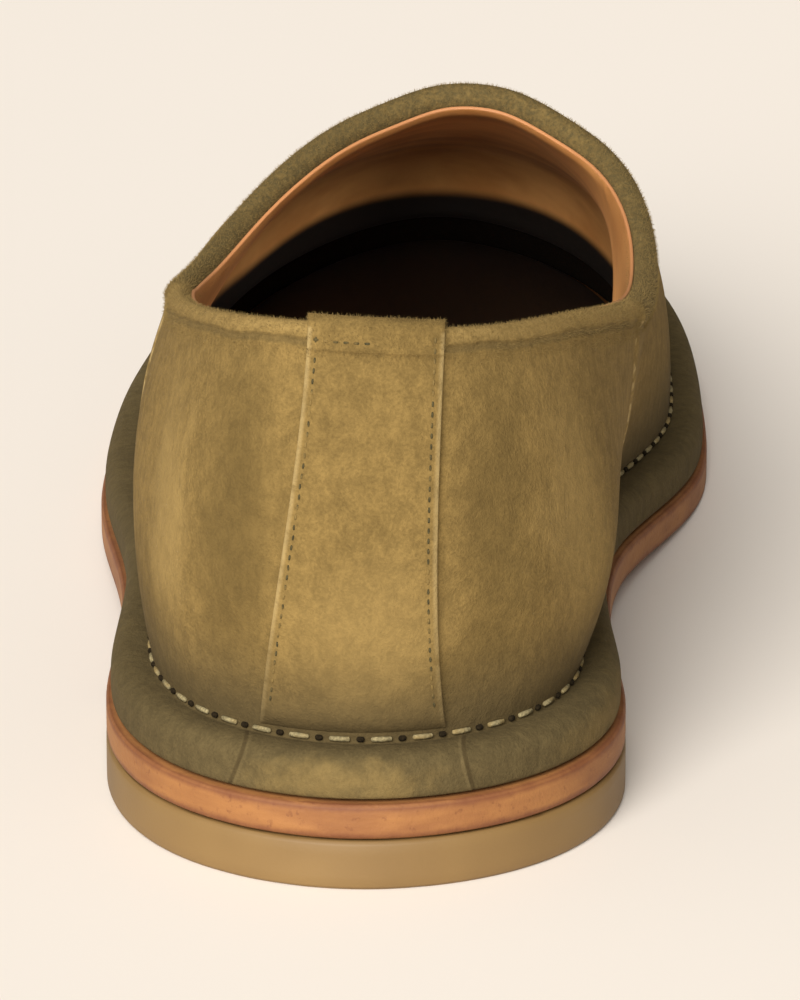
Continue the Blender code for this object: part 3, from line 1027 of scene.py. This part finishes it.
def sole_leather():
    """Tan leather of the outsole, burnt along its edges."""
    material, tree, shader, place = new_material("sole_leather", 0.7)
    layers = noise(tree, stretched(tree, place, (1.0, 1.0, 5.0)), 120.0, 4.0, 0.5)
    tone = noise(tree, place, 60.0, 3.0)
    share = calc(tree, "MULTIPLY_ADD", tone, 0.8, calc(tree, "MULTIPLY", layers, 0.5))
    colour = mix(tree, between(tree, share, 0.3, 0.9), SOLE_BROWN, SOLE_TAN)
    stain = calc(tree, "MULTIPLY_ADD", noise(tree, place, 240.0, 4.0), -0.0014, number(tree, "from_edge"))
    colour = mix(tree, between(tree, stain, -0.0009, 0.0002, 0.75, 0.0), colour, SOLE_BURNT)
    specks = between(tree, noise(tree, place, 700.0, 3.0, 0.7), 0.58, 0.72, 0.0, 0.45)
    colour = mix(tree, specks, colour, SOLE_BURNT)
    tree.links.new(colour, shader.inputs["Base Color"])
    bump(tree, shader, calc(tree, "ADD", layers, noise(tree, place, 1300.0, 3.0)), 0.0003, 0.35)
    return material


def heel_rubber():
    """Khaki rubber of the heel."""
    material, tree, shader, place = new_material("heel_rubber", 0.6)
    tone = noise(tree, place, 40.0, 2.0)
    colour = mix(tree, between(tree, tone, 0.2, 0.8), RUBBER_SHADE, RUBBER_KHAKI)
    tree.links.new(colour, shader.inputs["Base Color"])
    bump(tree, shader, noise(tree, place, 1400.0), 0.0002, 0.15)
    return material


def floor_paper():
    """Cream paper of the floor."""
    material, tree, shader, place = new_material("floor_paper", 0.7)
    tone = noise(tree, place, 3.0, 2.0)
    warmer = tuple(0.96 * c for c in FLOOR_CREAM[:3]) + (1.0,)
    tree.links.new(mix(tree, tone, warmer, FLOOR_CREAM), shader.inputs["Base Color"])
    return material


# Pieces

upper, lining, groove_path = make_upper(frame["nodes"]["upper"])
make_lining(lining)
strip = make_strip(frame["nodes"]["back_strip"])
outsole = make_sole(frame["nodes"]["outsole"], "outsole_leather", 2)
heel = make_sole(frame["nodes"]["heel"], "heel_block", 2)
insole = make_sole(frame["nodes"]["insole"], "insole_sock", 1)

GROOVE_PITCH = 0.0060
GROOVE_STITCH = 0.0031
GROOVE_LIFT = 0.0003
GROOVE_THREAD_RADIUS = 0.00038
HOLE_LENGTH = 0.0012
HOLE_RADIUS = 0.00042
HOLE_SINK = 1.8 * GROOVE_LIFT
STRIP_PITCH = 0.0015
STRIP_STITCH = 0.0008
STRIP_THREAD_RADIUS = 0.00018

raised = points_of(groove_path)
outward = raised - raised.mean(axis=0)
outward[:, 2] = 0.0
raised += GROOVE_LIFT * outward / np.linalg.norm(outward, axis=1)[:, None]
raised[:, 2] += GROOVE_LIFT
move_points(groove_path, raised)
pick(groove_path)
bpy.ops.object.convert(target="CURVE")
groove_stitches = make_stitch("groove_stitches", GROOVE_STITCH, GROOVE_THREAD_RADIUS)
run_along(groove_stitches, groove_path, GROOVE_PITCH)
# Dark pieces sunk between the groove stitches: painted shade in the stitch holes
groove_path.location.z = -HOLE_SINK
groove_holes = make_stitch("groove_holes", HOLE_LENGTH, HOLE_RADIUS, GROOVE_PITCH / 2)
run_along(groove_holes, groove_path, GROOVE_PITCH)
drop(groove_path)
rows_of_stitches = []
for path in strip_paths(strip):
    rows_of_stitches.append(make_stitch("strip_stitches", STRIP_STITCH, STRIP_THREAD_RADIUS))
    run_along(rows_of_stitches[-1], path, STRIP_PITCH)
    drop(path)
strip_stitches = join(rows_of_stitches)

fibre = make_fibre()
collar_fuzz = grow_fuzz(upper, fibre, "collar_fuzz", FIBRE_DENSITY)
strip_fuzz = grow_fuzz(strip, fibre, "strip_fuzz", FIBRE_DENSITY)
drop(fibre)

olive_suede = upper_suede()
olive_strip = strip_suede()
fuzz = suede_fuzz()
ride_and_slot(upper, olive_suede, "suede", "upper")
ride_and_slot(collar_fuzz, fuzz, "suede")
ride_and_slot(strip, olive_strip, "suede", "back_strip")
ride_and_slot(strip_fuzz, fuzz, "suede")
ride_and_slot(lining, lining_leather(), "insole_leather")
ride_and_slot(outsole, sole_leather(), "sole_leather", "outsole")
ride_and_slot(heel, heel_rubber(), "heel_rubber", "heel")
ride_and_slot(insole, sock_leather(), "insole_leather", "insole")
ride_and_slot(groove_stitches, thread("pale_thread", THREAD_PALE, fuzzed=0.55), "suede")
ride_and_slot(groove_holes, thread("stitch_hole_shade", STITCH_HOLE_SHADE, 1.0), "suede")
ride_and_slot(strip_stitches, thread("olive_thread", THREAD_OLIVE, fuzzed=0.7), "suede")

# Floor, light and camera

bpy.ops.object.select_all(action="DESELECT")
bpy.ops.mesh.primitive_plane_add(size=8.0, location=(0.0, 0.0, 0.0))
floor = bpy.context.object
floor.name = "floor"
floor.data.materials.append(floor_paper())

WARM = (1.0, 0.98, 0.955)
KEY_SPREAD = math.radians(40.0)

# Spots that look into the shoe: name, place, aim, cone in degrees, softness and power
INNER_SPOTS = (
    ("into_the_throat_left", (0.30, -1.00, 0.32), (0.0, 0.0, 0.086), 7.0, 0.12, 56.0),
    ("into_the_throat_right", (-0.10, -1.05, 0.32), (0.0, 0.0, 0.086), 7.0, 0.12, 45.0),
    ("onto_the_left_wall", (0.42, -0.62, 0.62), (-0.030, -0.055, 0.062), 5.0, 0.04, 22.0),
    ("into_the_toe_left", (0.10, -1.00, 0.34), (-0.037, 0.092, 0.022), 3.4, 0.02, 42.0),
    ("into_the_toe_right", (-0.02, -1.00, 0.34), (0.038, 0.080, 0.032), 3.4, 0.02, 30.0),
)


def add_lamp(kind, name, place, aim, power):
    """A warm lamp at a place, turned to its aim."""
    bpy.ops.object.light_add(type=kind, location=place)
    lamp = bpy.context.object
    lamp.name = name
    lamp.data.energy = power
    lamp.data.color = WARM
    lamp.rotation_euler = (Vector(aim) - Vector(place)).to_track_quat("-Z", "Y").to_euler()
    return lamp


key = add_lamp("SUN", "key_behind", (-0.20, -0.825, 0.53), (0.0, 0.0, 0.0), 4.7)
key.data.angle = KEY_SPREAD

# The spots light the lining only, so the floor round the shoe stays plain
lit_inside = bpy.data.collections.new("lit_inside")
lit_inside.objects.link(lining)
for name, place, aim, cone, softness, power in INNER_SPOTS:
    lamp = add_lamp("SPOT", name, place, aim, power)
    lamp.data.spot_size = math.radians(cone)
    lamp.data.spot_blend = 1.0
    lamp.data.shadow_soft_size = softness
    lamp.light_linking.receiver_collection = lit_inside

# The room's own light, bright above and behind and dim in front
world = bpy.data.worlds.new("studio")
world.use_nodes = True
sky = world.node_tree
heading = sky.nodes.new("ShaderNodeTexCoord").outputs["Generated"]
toward_light = add_node(
    sky, "ShaderNodeVectorMath", {1: (-0.25, -0.50, 0.70)}, {0: heading}, operation="DOT_PRODUCT",
).outputs["Value"]
sky.nodes["Background"].inputs["Color"].default_value = linear(250, 246, 240)
sky.links.new(between(sky, toward_light, -0.3, 0.8, 0.02, 0.50), sky.nodes["Background"].inputs["Strength"])
bpy.context.scene.world = world
bpy.context.scene.view_settings.view_transform = "Standard"

CAMERA_PLACE = Vector((0.04226, -1.02213, 0.34649))
CAMERA_AIM = Vector((0.00396, -0.08830, 0.04000))
CAMERA_SENSOR = 36.0
CAMERA_LENS = 238.5
bpy.ops.object.camera_add(location=CAMERA_PLACE)
camera = bpy.context.object
camera.rotation_euler = (CAMERA_AIM - CAMERA_PLACE).to_track_quat("-Z", "Y").to_euler()
camera.data.sensor_width = CAMERA_SENSOR
camera.data.lens = CAMERA_LENS
bpy.context.scene.camera = camera
